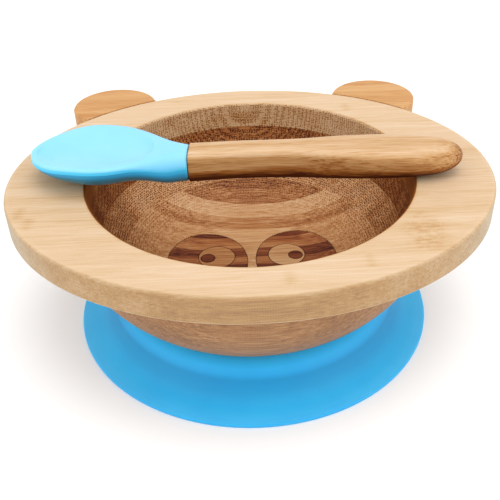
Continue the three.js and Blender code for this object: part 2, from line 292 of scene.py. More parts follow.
def turned(profile):
    """Turn a profile of (radius, height) points about the bowl's axis. It is a closed loop, or starts
    and ends on the axis."""
    directions = circle(TURN_STEPS)
    on_axis = profile[0][0] == 0
    body = profile[1:-1] if on_axis else profile
    loops = [at_height(directions * radius, z) for radius, z in body]
    if on_axis:
        return skin(loops, start_pole=(0, 0, profile[0][1]), end_pole=(0, 0, profile[-1][1]))
    return skin(loops, ring=True)


def make_object(name, points, faces, place=None):
    """A mesh object from points in millimetres about the bowl's axis, or in a frame of its own."""
    if place is None:
        place = Matrix.Translation((0, AXIS_Y * MM, 0))
    mesh = bpy.data.meshes.new(name)
    mesh.from_pydata([Vector(point) * MM for point in points], [], faces)
    work = bmesh.new()
    work.from_mesh(mesh)
    bmesh.ops.recalc_face_normals(work, faces=work.faces)
    work.to_mesh(mesh)
    work.free()
    if place.to_3x3() == Matrix.Identity(3):
        mesh.transform(place)
        place = Matrix.Identity(4)
    shade(mesh)
    piece = bpy.data.objects.new(name, mesh)
    bpy.context.scene.collection.objects.link(piece)
    piece.matrix_world = place
    return piece


def shade(mesh):
    """Smooth shading, with the edges above an angle kept sharp."""
    mesh.shade_smooth()
    mesh.set_sharp_from_angle(angle=math.radians(SHARP_ANGLE))


def keep_sharp(mesh, count, lines):
    """Keep lines along a skin sharp: a line joins one numbered point of each loop of count points."""
    for edge in mesh.edges:
        start, end = (index % count for index in edge.vertices)
        if start == end and start in lines:
            edge.use_edge_sharp = True


def finish_piece(piece, node, body, material):
    """Let a piece stand for its CAD node, which is hidden: it rides on the body and has the material given.
    """
    piece.data.materials.clear()
    piece.data.materials.append(material)
    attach(piece, body)
    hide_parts(node)


def cut(piece, cutters):
    """Cut the cutters' shapes out of a piece."""
    for cutter in cutters:
        modifier = piece.modifiers.new("cut", "BOOLEAN")
        modifier.operation = "DIFFERENCE"
        modifier.solver = "EXACT"
        modifier.object = cutter
    graph = bpy.context.evaluated_depsgraph_get()
    mesh = bpy.data.meshes.new_from_object(piece.evaluated_get(graph))
    piece.modifiers.clear()
    piece.data = mesh
    shade(mesh)
    return piece


# ---------------------------------------------------------------- bowl


def rim_outline(inset, directions):
    """The rim's oval, moved inwards by a distance."""
    half = np.array([RIM_HALF_WIDTH, RIM_HALF_DEPTH])
    normals = directions / half
    normals /= np.linalg.norm(normals, axis=1)[:, None]
    return directions * half - normals * inset


def board_edge(low):
    """The rounded outer edge of a board as thick as the rim, as (inset, height) from the top down."""
    edge = [(RIM_EDGE - r, z) for r, z in arc((0, TOP_Z - RIM_EDGE), RIM_EDGE, 90, 0)]
    under = arc((0, low + RIM_LOW_EDGE), RIM_LOW_EDGE, 0, -90, 5)
    return edge + [(RIM_LOW_EDGE - r, z) for r, z in under]


def rim_board():
    """The oval rim board: a flat ring with rounded edges around the round opening."""
    directions = circle(RIM_STEPS)
    low = BOARD_LOW_Z["rim_board"]
    inner = wall(inside_radius, low, TOP_Z - OPENING_EDGE, 10)
    inner += arc((OPENING_RADIUS + OPENING_EDGE, TOP_Z - OPENING_EDGE), OPENING_EDGE, 180, 90)[1:]
    loops = [at_height(directions * radius, z) for radius, z in inner]
    opening = loops[-1]
    border = at_height(rim_outline(RIM_EDGE, directions), TOP_Z)
    loops += [opening + (border - opening) * t for t in (0.04, 0.25, 0.5, 0.75, 0.96)]
    loops += [at_height(rim_outline(inset, directions), z) for inset, z in board_edge(low)]
    under = loops[-1]
    loops += [under + (loops[0] - under) * t for t in (0.05, 0.35, 0.65, 0.95)]
    return skin(loops, ring=True)


def ear_outline(side):
    """An ear's flat outline as points, and for each point how much its edge is rounded."""
    grown = np.array([RIM_HALF_WIDTH + EAR_JOINT, RIM_HALF_DEPTH + EAR_JOINT])
    centre = np.array(EAR_PLACE)
    outermost = math.atan2(centre[1], centre[0])

    def outside(angle):
        point = centre + EAR_RADIUS * np.array([math.cos(angle), math.sin(angle)])
        return np.sum((point / grown) ** 2) > 1

    def meeting(turn):
        """The angle where the ear's circle meets the rim's oval, found by halving."""
        near, far = outermost, outermost + turn * math.pi
        for _ in range(40):
            middle = (near + far) / 2
            near, far = (middle, far) if outside(middle) else (near, middle)
        return near

    start, end = meeting(-1), meeting(1)
    angles = np.linspace(start, end, 80)
    bow = centre + EAR_RADIUS * np.stack([np.cos(angles), np.sin(angles)], axis=1)
    ends = [math.atan2(*(point / grown)[::-1]) for point in (bow[-1], bow[0])]
    along = np.linspace(ends[0], ends[1], 34)[1:-1]
    joint = grown * np.stack([np.cos(along), np.sin(along)], axis=1)
    outline = np.vstack([bow, joint])
    rise = np.minimum(1, EAR_ROUNDING_RISE * np.sin(np.linspace(0, math.pi, len(bow))))
    rounding = np.full(len(outline), EAR_JOINT_ROUNDING)
    rounding[: len(bow)] = EAR_JOINT_ROUNDING + (1 - EAR_JOINT_ROUNDING) * rise
    outline[:, 0] *= side
    return outline, rounding


def inset_outline(outline, amounts):
    """A closed outline moved inwards, by one amount for each point."""
    ahead = np.roll(outline, -1, axis=0) - outline
    behind = outline - np.roll(outline, 1, axis=0)
    ahead /= np.linalg.norm(ahead, axis=1)[:, None]
    behind /= np.linalg.norm(behind, axis=1)[:, None]
    along = ahead + behind
    along /= np.linalg.norm(along, axis=1)[:, None]
    normals = np.stack([-along[:, 1], along[:, 0]], axis=1)
    closing = np.roll(outline, -1, axis=0)
    area = np.sum(outline[:, 0] * closing[:, 1] - closing[:, 0] * outline[:, 1])
    return outline + normals * np.sign(area) * np.asarray(amounts)[:, None]


def ear(side):
    """One ear: a round board as thick as the rim, let against its oval edge."""
    outline, rounding = ear_outline(side)
    edge = board_edge(BOARD_LOW_Z["rim_board"])
    return skin([at_height(inset_outline(outline, rounding * inset), z) for inset, z in edge])


def board_ring(low, high):
    """One board of the stack, turned inside and outside."""
    outside = wall(outside_radius, low, high, 14)
    inside = wall(inside_radius, high, low, 16)
    return turned(outside + inside)


def foot_board():
    """The board under the floor, with the foot that stands in the base."""
    low, high = BOARD_LOW_Z["foot_board"], BOARD_LOW_Z["lower_bowl_board"]
    foot = [(0, low), (FOOT_RING_RADIUS, low), (FOOT_RADIUS - FOOT_EDGE, low)]
    foot += arc((FOOT_RADIUS - FOOT_EDGE, low + FOOT_EDGE), FOOT_EDGE, -90, 0, 4)[1:]
    foot += [(FOOT_RADIUS, SHOULDER_Z - FOOT_CHAMFER), (FOOT_RADIUS + FOOT_CHAMFER, SHOULDER_Z)]
    outside = wall(outside_radius, SHOULDER_Z, high, 8)
    joint = inside_radius(high)
    floor = [(r, float(inside_height(r))) for r in np.linspace(joint, 0, 28)]
    return turned(foot + outside + floor[:-1] + [(0, FLOOR_Z)])


def oval(shape, side=1, grow=0.0):
    """The outline of an inlay on one side of the face, grown by a distance."""
    width = shape.get("half_width", shape.get("radius")) + grow
    depth = shape.get("half_depth", shape.get("radius")) + grow
    tilt = side * shape.get("tilt", 0.0)
    turn = np.array([[math.cos(tilt), math.sin(tilt)], [-math.sin(tilt), math.cos(tilt)]])
    outline = (circle(INLAY_STEPS) * (width, depth)) @ turn
    return outline + (side * shape.get("x", 0.0), shape["y"])


def surface(outline, sink=0.0):
    """An outline laid on the bowl's inside surface, or sunk a little into it."""
    return at_height(outline, inside_height(np.linalg.norm(outline, axis=1)) - sink)


def edge_loops(shape, side, way):
    """The two loops of an inlay's softened top edge. way is 1 at its outside and -1 at its hole."""
    return [
        surface(oval(shape, side, -INLAY_EDGE * way)),
        surface(oval(shape, side), INLAY_EDGE * INLAY_EDGE_DROP),
    ]


def inlay_ring(shape, hole, side):
    """An inlay that lies flush in the floor, around the hole for the next one."""
    fit = dict(hole, radius=hole["radius"] + INLAY_GAP)
    inner_edge, inner = edge_loops(fit, side, -1)
    outer_edge, outer = edge_loops(shape, side, 1)
    start, end = inner_edge[:, :2], outer_edge[:, :2]
    top = [surface(start + (end - start) * t) for t in np.linspace(0, 1, 15)]
    low = [at_height(outer[:, :2], INLAY_LOW_Z), at_height(inner[:, :2], INLAY_LOW_Z)]
    return skin([inner] + top + [outer] + low, ring=True)


def inlay_disc(shape, side=1):
    """A whole inlay that lies flush in the floor."""
    outer_edge, outer = edge_loops(shape, side, 1)
    centre = outer_edge[:, :2].mean(axis=0)
    shares = np.linspace(0, 1, 9)[1:]
    top = [surface(centre + (outer_edge[:, :2] - centre) * t) for t in shares]
    pole = (*centre, float(inside_height(np.linalg.norm(centre))))
    low = at_height(outer[:, :2], INLAY_LOW_Z)
    return skin(top + [outer, low], start_pole=pole, end_pole=(*centre, INLAY_LOW_Z))


def pocket(shape, side=1):
    """A cutter for the pocket that an inlay lies in."""
    outline = oval(shape, side, INLAY_GAP)
    heights = (INLAY_LOW_Z - INLAY_GAP, TOP_Z / 2)
    return make_object("pocket", *skin([at_height(outline, z) for z in heights]))


def suction_base():
    """The silicone base: a socket for the foot, a raised boss, and a thin skirt over a hollow."""
    under = [(HOLLOW_RADIUS * math.sqrt(1 - z / HOLLOW_Z), z) for z in np.linspace(HOLLOW_Z, 0, 30)]
    edge = arc((BASE_RADIUS - LIP_ROUND, LIP_ROUND), LIP_ROUND, -90, 0, 4)
    edge += arc((BASE_RADIUS - SKIRT_ROUND, SKIRT_ROUND), SKIRT_ROUND, 0, 80, 6)[1:]
    boss = arc(BOSS_CENTRE, BOSS_ROUND, BOSS_START, BOSS_END, 22)
    boss_radius, boss_z = boss[0]
    reach = edge[-1][0] - SKIRT_INSET - boss_radius
    rise = boss_z - SKIRT_Z
    shares = np.linspace(1, 0.02, 30)
    skirt = [(boss_radius + reach * s, SKIRT_Z + rise * (1 - s) ** SKIRT_POWER) for s in shares]
    socket_radius = FOOT_RADIUS + SOCKET_GAP
    mouth = [(socket_radius + MOUTH_WIDENING, SHOULDER_Z - SOCKET_GAP),
             (socket_radius, SHOULDER_Z - MOUTH_DEPTH)]
    floor_z = BOARD_LOW_Z["foot_board"] - SOCKET_GAP
    socket = [(socket_radius, floor_z + SOCKET_CHAMFER), (socket_radius - SOCKET_CHAMFER, floor_z),
              (FOOT_RING_RADIUS, floor_z), (0, floor_z)]
    return turned([(0, HOLLOW_Z)] + under[1:] + edge + skirt + boss + mouth + socket)


# ---------------------------------------------------------------- spoon


def spoon_place():
    """Where the spoon's own frame lies in the row frame."""
    spot = Vector((SPOON_PLACE.x, SPOON_PLACE.y + AXIS_Y, SPOON_PLACE.z)) * MM
    turn = Matrix.Rotation(SPOON_TURN, 4, "Z") @ Matrix.Rotation(SPOON_TILT, 4, "Y")
    return Matrix.Translation(spot) @ turn


def rounded(half_width, half_height, power):
    """A rounded rectangle as (y, z) points. A higher power is squarer."""
    directions = circle(HANDLE_STEPS)
    shape = np.sign(directions) * np.abs(directions) ** (2 / power)
    return shape * (half_width, half_height)


def across(x, section):
    """A section of (y, z) points placed at a distance along the spoon."""
    return np.column_stack([np.full(len(section), x), section])


def spoon_handle():
    """The bamboo handle: it widens towards a round end, and a tang runs into the head."""
    side = smooth_curve(HANDLE_SIDE)
    loops = [across(x, circle(HANDLE_STEPS) * TANG_RADIUS) for x in (-TANG_LENGTH, -0.1)]
    start = rounded(HANDLE_START_HALF_WIDTH, HANDLE_HALF_HEIGHT - HANDLE_EDGE, HANDLE_SQUARENESS)
    loops.append(across(0, start + (0, -HANDLE_SAG)))
    reach = HANDLE_END_X - HANDLE_ROUND_X
    end = HANDLE_ROUND_X + reach * np.sin(np.linspace(0, math.pi / 2, 26))[1:-1]
    for x in [0.12, HANDLE_EDGE, *np.arange(2, HANDLE_ROUND_X, 1.5), HANDLE_ROUND_X, *end]:
        half = np.interp(x, side[:, 0], side[:, 1])
        along = max(0, (x - HANDLE_ROUND_X) / reach)
        over = max(0, (x - HANDLE_ROUND_X) / reach - HANDLE_THIN_START) / (1 - HANDLE_THIN_START)
        half *= (1 - along**HANDLE_END_POWER) ** (1 / HANDLE_END_ROOT)
        height = HANDLE_HALF_HEIGHT * (1 - over**HANDLE_THIN_POWER) ** (1 / HANDLE_THIN_POWER)
        height -= HANDLE_EDGE * (1 - blend(x, 0, HANDLE_EDGE))
        power = HANDLE_SQUARENESS - HANDLE_SOFTENING * blend(x, *HANDLE_SOFTENING_X)
        sag = HANDLE_SAG * (1 - blend(x, *HANDLE_SAG_X))
        loops.append(across(x, rounded(half, height, power) + (0, -sag)))
    return skin(loops, start_pole=(-TANG_LENGTH, 0, 0), end_pole=(HANDLE_END_X, 0, 0))


# The section's points at the ledge under its lip: the lip's lower edge, and where the belly starts
HEAD_LEDGE = (27, 28)


def head_top(x):
    """Height of the head's top edge along the spoon: it rises to the middle and droops at the tip."""
    return HEAD_TOP_Z - HEAD_TOP_RISE * x - HEAD_TIP_DROOP * blend(-x, *HEAD_DROOP_X)


def head_section(x, half, scoop):
    """One section of the spoon's head as (y, z) points, from the middle of its top round to it again."""
    neck = blend(x, *NECK_X)
    top = head_top(x)
    edge = min(HEAD_EDGE + NECK_EDGE * neck**2, HEAD_EDGE_LIMIT * half)
    fade = min(1, half / LIP_FADE_HALF_WIDTH)
    lip = HEAD_LIP * (1 - neck) * fade
    step = LEDGE_WIDTH * (1 - neck) * fade
    low = HEAD_RIM_Z - HEAD_RISE * x - HEAD_DEPTH_SHARE * half
    low += (COLLAR_LOW_Z - low) * blend(x, *COLLAR_X)
    low += NECK_WAIST * blend(x, *WAIST_START_X) * (1 - blend(x, *WAIST_END_X))
    low = min(low, top - edge - lip - BELLY_LEAST_DEPTH - BELLY_LEAST_SHARE * half)
    within = max(scoop, TOP_SHARE * (half - edge))
    dish = []
    for u in np.sin(np.linspace(0, math.pi / 2, 15)):
        dish.append((within * u, top - SCOOP_DEPTH_SHARE * scoop * (1 - u * u) ** SCOOP_POWER))
    border = [(within + (half - edge - within) * t, top) for t in (0.15, 0.45, 0.75)]
    corner = arc((half - edge, top - edge), edge, 90, 0, 8)
    power = 2 / (BELLY_POWER + NECK_BELLY_POWER * neck)
    bend = np.radians(np.linspace(0, 90, 17))
    shoulder = top - edge - lip - LEDGE_LOW - step * LEDGE_SLOPE
    width, depth = half - step, shoulder - low
    belly = [(width * math.cos(b) ** power, shoulder - depth * math.sin(b) ** power) for b in bend[:-1]]
    right = dish + border + corner + [(half, top - edge - lip - LEDGE_TOP)] + belly
    left = [(-y, z) for y, z in reversed(right[1:])]
    return np.array(right + [(0.0, low)] + left)


def spoon_head():
    """The silicone head: a shallow scoop, a neck, and a collar around the handle's tang."""
    outline = smooth_curve(HEAD_SIDE)
    scoop = smooth_curve(SCOOP_SIDE)
    turn = np.linspace(0, math.pi, 60)
    middle = (SCOOP_START_X + SCOOP_END_X) / 2
    tip_part = 1 - np.cos(np.linspace(0, math.pi / 2, 12)[1:])
    stations = list(-HEAD_LENGTH + (SCOOP_START_X + HEAD_LENGTH - 0.05) * tip_part)
    stations += list(middle - (SCOOP_END_X - SCOOP_START_X) / 2 * np.cos(turn))
    stations += list(np.linspace(SCOOP_END_X, -HEAD_GAP, 16)[1:-1]) + [-HEAD_GAP - 0.25]
    loops = []
    for x in stations:
        half = np.interp(x, outline[:, 0], outline[:, 1])
        dish = np.interp(x, scoop[:, 0], scoop[:, 1], left=0, right=0)
        loops.append(across(x, head_section(x, half, dish)))
    end = loops[-1][:, 1:]
    loops.append(across(-HEAD_GAP, end * 0.95))
    directions = end / np.linalg.norm(end, axis=1)[:, None]
    bore = TANG_RADIUS + BORE_GAP
    floor_x = -TANG_LENGTH - BORE_GAP
    loops += [across(x, directions * bore) for x in (-HEAD_GAP, floor_x)]
    tip_z = head_top(-HEAD_LENGTH) - HEAD_TIP_DROP
    return skin(loops, start_pole=(-HEAD_LENGTH, 0, tip_z), end_pole=(floor_x, 0, 0))


# ---------------------------------------------------------------- materials


def colour(code):
    """A linear colour from an sRGB hex code."""
    parts = [int(code[i : i + 2], 16) / 255 for i in (0, 2, 4)]
    return [p / 12.92 if p <= 0.04045 else ((p + 0.055) / 1.055) ** 2.4 for p in parts] + [1.0]


class Graph:
    """The shader nodes of one material. Its methods take sockets or plain values."""

    def __init__(self, name):
        self.material = bpy.data.materials.new(name)
        self.material.use_nodes = True
        self.nodes = self.material.node_tree.nodes
        self.shader = self.nodes["Principled BSDF"]
        coordinates = self.nodes.new("ShaderNodeTexCoord")
        self.normal = coordinates.outputs["Normal"]
        self.place = self.vector("SCALE", coordinates.outputs["Object"], scale=1 / MM)

    def feed(self, socket, value):
        if isinstance(value, bpy.types.NodeSocket):
            self.material.node_tree.links.new(value, socket)
        else:
            socket.default_value = value

    def math(self, operation, *values, clamp=False):
        node = self.nodes.new("ShaderNodeMath")
        node.operation = operation
        node.use_clamp = clamp
        for socket, value in zip(node.inputs, values):
            self.feed(socket, value)
        return node.outputs[0]

    def vector(self, operation, *values, scale=None, output=0):
        node = self.nodes.new("ShaderNodeVectorMath")
        node.operation = operation
        for socket, value in zip(node.inputs, values):
            self.feed(socket, value)
        if scale is not None:
            self.feed(node.inputs["Scale"], scale)
        return node.outputs[output]

    def part(self, vector, axis):
        node = self.nodes.new("ShaderNodeSeparateXYZ")
        self.feed(node.inputs[0], vector)
        return node.outputs[axis]

    def join(self, x, y, z):
        node = self.nodes.new("ShaderNodeCombineXYZ")
        for socket, value in zip(node.inputs, (x, y, z)):
            self.feed(socket, value)
        return node.outputs[0]

    def noise(self, vector, scales, detail, rough=0.55):
        node = self.nodes.new("ShaderNodeTexNoise")
        self.feed(node.inputs["Vector"], self.vector("MULTIPLY", vector, scales))
        node.inputs["Scale"].default_value = 1.0
        node.inputs["Detail"].default_value = detail
        node.inputs["Roughness"].default_value = rough
        return node.outputs[0]

    def cells(self, vector, scales, randomness=1.0):
        node = self.nodes.new("ShaderNodeTexVoronoi")
        self.feed(node.inputs["Vector"], self.vector("MULTIPLY", vector, scales))
        node.inputs["Scale"].default_value = 1.0
        node.inputs["Randomness"].default_value = randomness
        return node.outputs["Distance"]

    def white(self, value):
        node = self.nodes.new("ShaderNodeTexWhiteNoise")
        node.noise_dimensions = "1D"
        self.feed(node.inputs["W"], value)
        return node.outputs["Value"]

    def spread(self, value, low, high, to_low=0.0, to_high=1.0):
        """A value smoothly mapped from one range to another."""
        node = self.nodes.new("ShaderNodeMapRange")
        node.interpolation_type = "SMOOTHSTEP"
        for socket, item in zip(node.inputs, (value, low, high, to_low, to_high)):
            self.feed(socket, item)
        return node.outputs[0]

    def ramp(self, value, stops, steps=False):
        node = self.nodes.new("ShaderNodeValToRGB")
        node.color_ramp.interpolation = "CONSTANT" if steps else "LINEAR"
        elements = node.color_ramp.elements
        while len(elements) < len(stops):
            elements.new(0.5)
        for element, (position, shade_code) in zip(elements, stops):
            grey = not isinstance(shade_code, str)
            element.position = position
            element.color = [shade_code] * 3 + [1.0] if grey else colour(shade_code)
        self.feed(node.inputs[0], value)
        return node.outputs[0]

    def mix(self, share, start, end):
        """One colour passing into another."""
        node = self.nodes.new("ShaderNodeMix")
        node.data_type = "RGBA"
        for name, item in (("Factor_Float", share), ("A_Color", start), ("B_Color", end)):
            socket = next(entry for entry in node.inputs if entry.identifier == name)
            self.feed(socket, item)
        return next(entry for entry in node.outputs if entry.identifier == "Result_Color")

    def vary(self, value, noise, amount):
        """A value moved up and down by a noise about its middle."""
        return self.math("MULTIPLY_ADD", self.math("SUBTRACT", noise, 0.5), amount, value)

    def outwards(self):
        """The level way from the bowl's axis to a point, as long as their distance."""
        from_axis = self.vector("ADD", self.place, (0.0, -AXIS_Y, 0.0))
        return self.vector("MULTIPLY", from_axis, (1.0, 1.0, 0.0))

    def bump(self, height, distance, strength):
        node = self.nodes.new("ShaderNodeBump")
        node.inputs["Distance"].default_value = distance * MM
        node.inputs["Strength"].default_value = strength
        self.feed(node.inputs["Height"], height)
        self.feed(self.shader.inputs["Normal"], node.outputs[0])


# The scale of each pattern of the bamboo: its cells to the millimetre, along X, Y and Z
RIPPLE_SCALE = (0.03, 0.09, 0.09)
STREAK_SCALE = (0.035, 1.5, 1.5)
HAIR_SCALE = (0.1, 2.9, 2.9)
BROAD_SCALE = (0.012, 0.2, 0.2)
BUNDLE_SCALE = (0.13, 1.4, 1.4)
FLECK_SCALE = (0.4, 2.9, 2.9)
PORE_SCALE = (1.5, 1.5, 1.5)
MOTTLE_SCALE = (0.5, 0.7, 0.7)

# Sizes in the bamboo: its bands' whole span, the drift of its grain, half the stretch between two
# knuckles, and the place and size of the one node across several strips
BAND_SPAN = 160.0
DRIFT = 2.4
KNUCKLE_HALF_STEP = 95.0
NODE_X = 48.5
NODE_Y = -39.5
NODE_LENGTH = 8.0
NODE_WIDTH = 13.0


def add_pores_and_painted_shade(g, value, shifted, outer, pores, hollow):
    """The dark ends of the fibre bundles inside the bowl, strong on slopes and faint on flat faces. hollow
    is
    painted shade: it darkens the wall that looks inwards at the opening's left and right ends."""
    upright = g.spread(g.math("ABSOLUTE", g.part(g.normal, 2)), 0.6, 0.985, 1.0, 0.1)
    within = g.spread(outer, -0.1, 0.3, 1.0, 0.12)
    holes = g.spread(g.cells(shifted, PORE_SCALE, 0.4), 0.3, 0.5, 1.0, 0.0)
    amount = g.math("MULTIPLY", g.math("MULTIPLY", upright, within), pores)
    value = g.math("SUBTRACT", value, g.math("MULTIPLY", g.math("SUBTRACT", holes, 0.2), amount))
    # Painted shade: the wall that looks inwards at the opening's left and right ends is darkened.
    inwards = g.spread(outer, -0.6, 0.1, 1.0, 0.0)
    back = g.part(g.normal, 1)
    ends = g.math("MULTIPLY", g.spread(back, -0.5, 0.15), g.spread(back, 0.45, 0.9, 1.0, 0.0))
    return g.math("MULTIPLY_ADD", g.math("MULTIPLY", ends, inwards), -hollow, value)


def add_knuckles(g, value, luck, bent, streaks, knuckles):
    """The culm's nodes: dark lines across each strip, at places of its own, two KNUCKLE_HALF_STEPs apart."""
    phase = g.math("MULTIPLY_ADD", luck, 2 * KNUCKLE_HALF_STEP, g.part(bent, 0))
    wrapped = g.math("PINGPONG", phase, KNUCKLE_HALF_STEP)
    knot = g.spread(g.math("MULTIPLY_ADD", streaks, 4.0, wrapped), 1.5, 5.0, 1.0, 0.0)
    return g.math("MULTIPLY_ADD", knot, -knuckles, value)


def add_node(g, value, luck, shifted, node):
    """The one place where a node crosses several strips, dark and mottled."""
    away = g.vector("ADD", g.place, (-NODE_X, -AXIS_Y - NODE_Y, 0.0))
    away = g.vector("MULTIPLY", away, (1 / NODE_LENGTH, 1 / NODE_WIDTH, 0.0))
    away = g.vary(g.vector("LENGTH", away, output="Value"), luck, 0.5)
    near = g.spread(away, 0.3, 1.0, 1.0, 0.0)
    mottle = g.spread(g.noise(shifted, MOTTLE_SCALE, 3.0), 0.34, 0.62, 0.2, 1.0)
    return g.math("MULTIPLY_ADD", g.math("MULTIPLY", near, mottle), -node, value)


def add_side_grain_and_painted_light(g, value, outer, side):
    """Faces looking to the front and back made darker, partly for the side grain and partly as painted
    shade, and a painted highlight that makes the underside lighter.
    """
    outside = g.math("ABSOLUTE", g.part(g.normal, 1))
    share = g.math("MULTIPLY", outside, g.spread(outer, -0.3, 0.3, 0.6, 1.0))
    # Painted shade, and partly the darker side grain: faces looking to the front and back are darkened.
    value = g.math("MULTIPLY_ADD", share, -side, value)
    # Painted highlight: faces looking down are made lighter.
    return g.math("ADD", value, g.spread(g.part(g.normal, 2), -0.75, -0.1, 0.3, 0.0))


def bamboo(name, shades, bands, seed, fibre=0.3, dots=0.3, patches=0.15, strips=0.12, strip_width=5.6,
           knuckles=0.0, side=0.0, under=0.0, pores=0.0, hollow=0.0,
           painted_sheen=None, painted_end_sheen=0.0, painted_outward_sheen=0.0, skew=0.0, seam=0.0, node=0.0):
    """Laminated bamboo with its grain along X. shades are the colours from dark to light, and bands are
    (y, tone) pairs: the tone from each y on. The board is glued from strips of strip_width, whose tones
    differ by strips, and skew turns them a little out of the X axis. fibre is the contrast of the grain,
    dots that of the fibre bundles' ends, and patches that of broad clouds. under is painted shade: it
    darkens the underside of a piece drawn about its own axis. dull is the colour of a painted grey sheen
    that faces looking outwards fade to, by painted_outward_sheen, and by painted_end_sheen too at the
    board's two ends along X.
    seam darkens an inlay's edge, as its glue line does. The other words are those of the functions above."""
    g = Graph(name)
    shifted = g.vector("ADD", g.place, (seed * 37.3, -AXIS_Y, seed * 11.1))
    y = g.math("MULTIPLY_ADD", g.part(g.place, 0), skew, g.part(shifted, 1))
    outwards = g.outwards()
    ripple = g.noise(shifted, RIPPLE_SCALE, 2.0)
    drift = g.math("MULTIPLY", g.math("SUBTRACT", ripple, 0.5), DRIFT)
    bent = g.vector("ADD", shifted, g.join(0.0, drift, drift))
    outer = g.vector("DOT_PRODUCT", g.vector("NORMALIZE", outwards), g.normal, output="Value")
    streaks = g.noise(bent, STREAK_SCALE, 4.0, 0.65)
    hairs = g.noise(bent, HAIR_SCALE, 2.0, 0.6)
    broad = g.noise(bent, BROAD_SCALE, 2.0)
    bundles = g.cells(bent, BUNDLE_SCALE)
    flecks = g.cells(bent, FLECK_SCALE)
    bundle_dots = g.spread(bundles, 0.14, 0.46, 1.0, 0.0)
    fleck_dots = g.spread(flecks, 0.1, 0.4, 1.0, 0.0)
    facing = g.math("ABSOLUTE", g.part(g.normal, 0))
    end_grain = g.spread(facing, 0.05, 0.75, 0.3, 1.0)
    count = g.math("FLOOR", g.math("DIVIDE", y, strip_width))
    luck = g.white(g.math("ADD", count, seed * 7.7))
    along = g.math("DIVIDE", y, BAND_SPAN)
    stops = [(max(0.0, 0.5 + start / BAND_SPAN), tone) for start, tone in bands]
    tone = g.ramp(g.math("ADD", along, 0.5), stops, steps=True)
    value = g.vary(tone, streaks, fibre * 1.6)
    value = g.vary(value, hairs, fibre)
    value = g.vary(value, broad, patches * 2)
    value = g.vary(value, luck, strips)
    spots = g.math("MULTIPLY_ADD", fleck_dots, 0.35, bundle_dots)
    value = g.math("MULTIPLY_ADD", g.math("MULTIPLY", spots, end_grain), -dots, value)
    if pores:
        value = add_pores_and_painted_shade(g, value, shifted, outer, pores, hollow)
    if knuckles:
        value = add_knuckles(g, value, luck, bent, streaks, knuckles)
    if node:
        value = add_node(g, value, luck, shifted, node)
    if side:
        value = add_side_grain_and_painted_light(g, value, outer, side)
    # Painted shade: the underside below the top is darkened, in two steps.
    if under:
        height = g.part(g.place, 2)
        value = g.math("SUBTRACT", value, g.spread(height, 2.7, 4.3, under * 0.5, 0.0))
        value = g.math("SUBTRACT", value, g.spread(height, -4.8, 0.2, under * 1.2, 0.0))
    if seam:
        value = g.math("SUBTRACT", value, g.spread(g.part(g.normal, 2), 0.6, 0.88, seam, 0.0))
    places = np.linspace(0, 1, len(shades))
    tint = g.ramp(value, list(zip(places, shades)))
    # Painted sheen: faces looking outwards fade towards a grey, most at the board's ends along X.
    if painted_sheen:
        share = g.math("ADD", g.spread(facing, 0.55, 1.0, 0.0, painted_end_sheen), painted_outward_sheen)
        share = g.math("MULTIPLY", g.spread(outer, 0.1, 0.7), share, clamp=True)
        tint = g.mix(share, tint, colour(painted_sheen))
    g.feed(g.shader.inputs["Base Color"], tint)
    g.feed(g.shader.inputs["Roughness"], g.spread(streaks, 0.2, 0.8, 0.62, 0.46))
    g.shader.inputs["Specular IOR Level"].default_value = 0.2
    g.bump(g.math("MULTIPLY_ADD", spots, -0.5, streaks), 0.05, 0.5)
    return g.material


# Silicone's patterns, and the span of its rings of painted light and shade
CLOUD_SCALE = (0.05, 0.05, 0.05)
GRAIN_SCALE = (3.1, 3.1, 3.1)
RING_SPAN = 64.0


def silicone(name, shades, seed, facing=None, painted_light_rings=None):
    """Smooth moulded silicone: soft, slightly cloudy, with a fine satin surface. facing are tints of painted
    light and shade by how far a face looks up, from 0 straight down to 1 straight up. rings are tints of
    painted light and shade by the distance from the bowl's axis."""
    g = Graph(name)
    shifted = g.vector("ADD", g.place, (seed * 51.0, seed * 17.0, 0.0))
    cloud = g.noise(shifted, CLOUD_SCALE, 2.0)
    grain = g.noise(shifted, GRAIN_SCALE, 3.0, 0.6)
    mottle = g.vary(cloud, grain, 0.12)
    tint = g.ramp(mottle, [(0.3, shades[0]), (0.7, shades[1])])
    # Painted light and shade: faces that look up are made lighter and those that look down darker.
    if facing:
        up = g.math("MULTIPLY_ADD", g.part(g.normal, 2), 0.5, 0.5)
        tint = g.vector("MULTIPLY", tint, g.ramp(up, facing))
    # Painted light and shade in rings about the bowl's axis.
    if painted_light_rings:
        reach = g.vector("LENGTH", g.outwards(), output="Value")
        places = [(radius / RING_SPAN, code) for radius, code in painted_light_rings]
        tint = g.vector("MULTIPLY", tint, g.ramp(g.math("DIVIDE", reach, RING_SPAN), places))
    g.feed(g.shader.inputs["Base Color"], tint)
    g.feed(g.shader.inputs["Roughness"], g.spread(grain, 0.3, 0.7, 0.42, 0.52))
    g.shader.inputs["Specular IOR Level"].default_value = 0.25
    g.shader.inputs["Subsurface Weight"].default_value = 0.12
    g.shader.inputs["Subsurface Radius"].default_value = (0.25, 0.6, 1.0)
    g.shader.inputs["Subsurface Scale"].default_value = 2.5 * MM
    g.shader.inputs["Sheen Weight"].default_value = 0.08
    g.bump(grain, 0.02, 0.35)
    return g.material


LIGHT_BAMBOO = ("7a4210", "ab7c42", "c7a781", "d6bda2", "e1cdb8")
EAR_SHADES = ("703f1e", "a56a36", "bf8d57", "cca26e", "d9b58b")
BODY_SHADES = ("441c07", "804218", "b47a48", "d0a272", "dcbc98")
PATCH_SHADES = ("351208", "6a2d14", "914f2a", "b17443", "bf8a58")
SPOON_SHADES = ("431903", "89511e", "b88d5b", "cdad8a", "dbbfa4")

